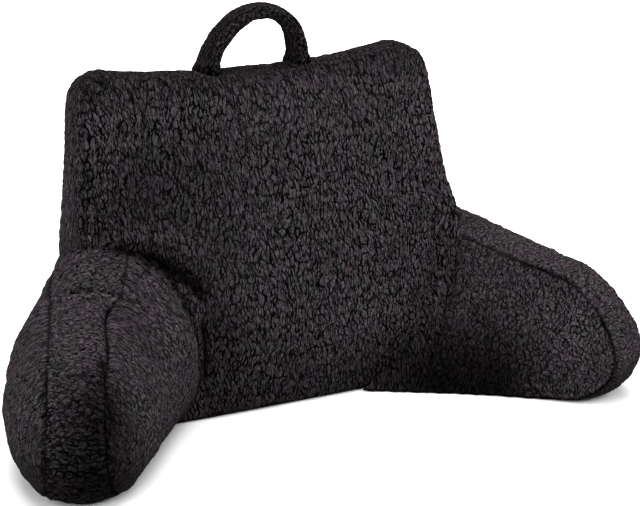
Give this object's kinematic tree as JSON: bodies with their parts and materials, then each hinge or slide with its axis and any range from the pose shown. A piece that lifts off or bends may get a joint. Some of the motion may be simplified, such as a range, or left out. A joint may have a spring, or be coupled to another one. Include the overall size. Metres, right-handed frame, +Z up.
{
  "type": "backrest pillow",
  "caption": "Stuffed fleece backrest pillow: a leaning boxed back cushion with splayed arm bolsters and a padded carrying loop on its top edge.",
  "frame": {"origin": "middle of the bounding box, on the plane the pillow rests on", "axes": "+Z up, +X along the width, -Y towards the seat side where the sitter is, so the back leans towards +Y"},
  "size_m": [0.8344, 0.379, 0.4972],
  "materials": {
    "sherpa_fleece": "matte charcoal fleece with a curled, clumped pile"
  },
  "bodies": {
    "root": {"backrest": "sherpa_fleece", "arm_left": "sherpa_fleece", "arm_right": "sherpa_fleece", "handle": "sherpa_fleece"}
  },
  "joints": []
}
